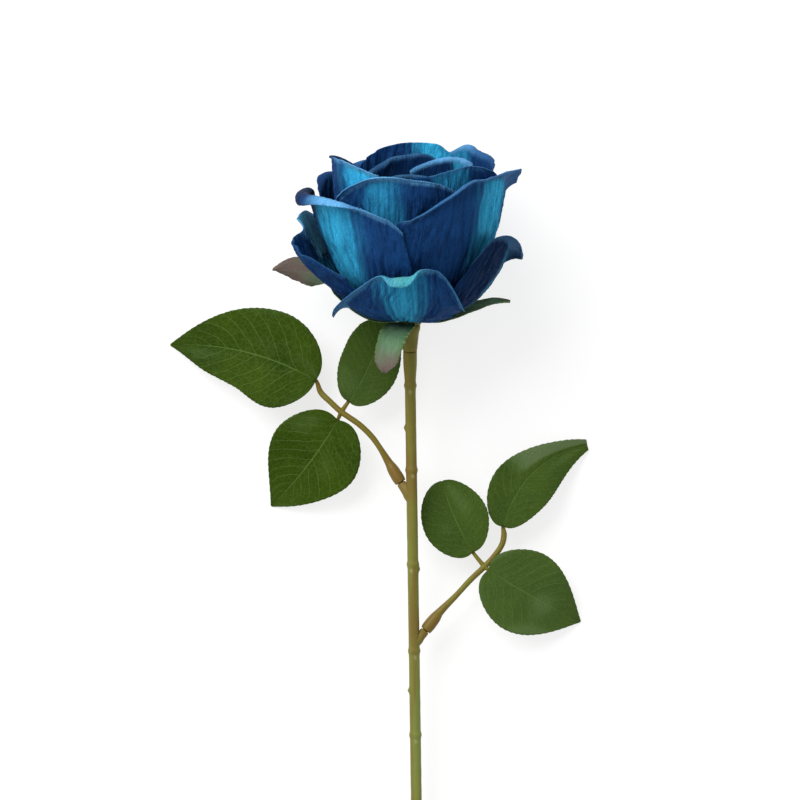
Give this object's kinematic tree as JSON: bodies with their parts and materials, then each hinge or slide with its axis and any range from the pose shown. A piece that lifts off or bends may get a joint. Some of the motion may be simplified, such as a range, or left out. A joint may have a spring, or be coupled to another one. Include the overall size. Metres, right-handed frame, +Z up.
{
  "type": "artificial rose",
  "caption": "Artificial blue fabric rose on a wired plastic stem with two leaf sprays, lying on its side.",
  "frame": {"origin": "middle of the lying rose's footprint, on the surface it lies on", "axes": "+Y along the stem towards the flower, +Z up from the surface, +X to the right of the flower seen from above with the flower at the top"},
  "size_m": [0.1696, 0.5003, 0.0832],
  "materials": {
    "petal_fabric": "satin-printed stiffened fabric",
    "leaf_fabric": "matte coated fabric",
    "sepal_fabric": "matte fabric",
    "stem_plastic": "satin moulded plastic",
    "peg_plastic": "plain moulded plastic",
    "wire_steel": "drawn wire"
  },
  "bodies": {
    "root": {"bud_petal_1": "petal_fabric", "bud_petal_2": "petal_fabric", "bud_petal_3": "petal_fabric", "calyx_cup": "stem_plastic", "heart_petal_1": "petal_fabric", "heart_petal_2": "petal_fabric", "heart_petal_3": "petal_fabric", "inner_petal_1": "petal_fabric", "inner_petal_2": "petal_fabric", "inner_petal_3": "petal_fabric", "inner_petal_4": "petal_fabric", "left_end_leaf": "leaf_fabric", "left_lower_leaf": "leaf_fabric", "left_twig": "stem_plastic", "left_upper_leaf": "leaf_fabric", "middle_petal_back_left": "petal_fabric", "middle_petal_back_right": "petal_fabric", "middle_petal_front": "petal_fabric", "middle_petal_left": "petal_fabric", "middle_petal_right": "petal_fabric", "outer_petal_back_left": "petal_fabric", "outer_petal_back_right": "petal_fabric", "outer_petal_front_left": "petal_fabric", "outer_petal_front_right": "petal_fabric", "petal_peg": "peg_plastic", "right_end_leaf": "leaf_fabric", "right_lower_leaf": "leaf_fabric", "right_twig": "stem_plastic", "right_upper_leaf": "leaf_fabric", "sepal_back_left": "sepal_fabric", "sepal_back_right": "sepal_fabric", "sepal_front": "sepal_fabric", "sepal_left": "sepal_fabric", "sepal_right": "sepal_fabric", "skirt_petal_back_left": "petal_fabric", "skirt_petal_back_right": "petal_fabric", "skirt_petal_front": "petal_fabric", "skirt_petal_left": "petal_fabric", "skirt_petal_right": "petal_fabric", "stem": "stem_plastic", "stem_wire": "wire_steel"}
  },
  "joints": []
}
